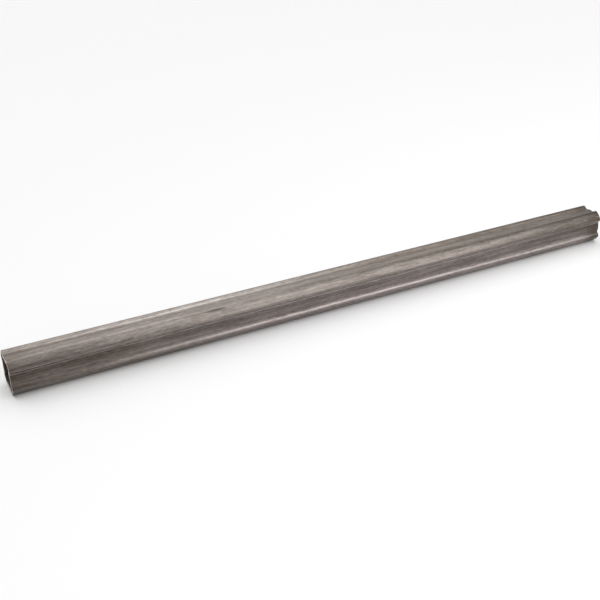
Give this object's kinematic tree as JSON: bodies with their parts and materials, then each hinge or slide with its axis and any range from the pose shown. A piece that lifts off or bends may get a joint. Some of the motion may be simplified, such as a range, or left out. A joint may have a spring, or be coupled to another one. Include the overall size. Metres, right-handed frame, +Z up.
{
  "type": "pto shaft profile tube",
  "caption": "Long straight steel tube of even wall with a lobed section, open and sawn square at both ends, that telescopes with a like profile to carry drive torque.",
  "frame": {"origin": "middle of the tube's length, on the surface that it lies on, below the axis", "axes": "+X along the tube, +Z up from the surface; the tube lies on two neighbouring lobes, so a groove faces straight up, down and to each side"},
  "size_m": [1, 0.0532, 0.0532],
  "materials": {
    "drawn_steel": "bare drawn steel, satin, with lengthwise die lines and a thin dull oxide"
  },
  "bodies": {
    "root": {"profile_tube": "drawn_steel"}
  },
  "joints": []
}
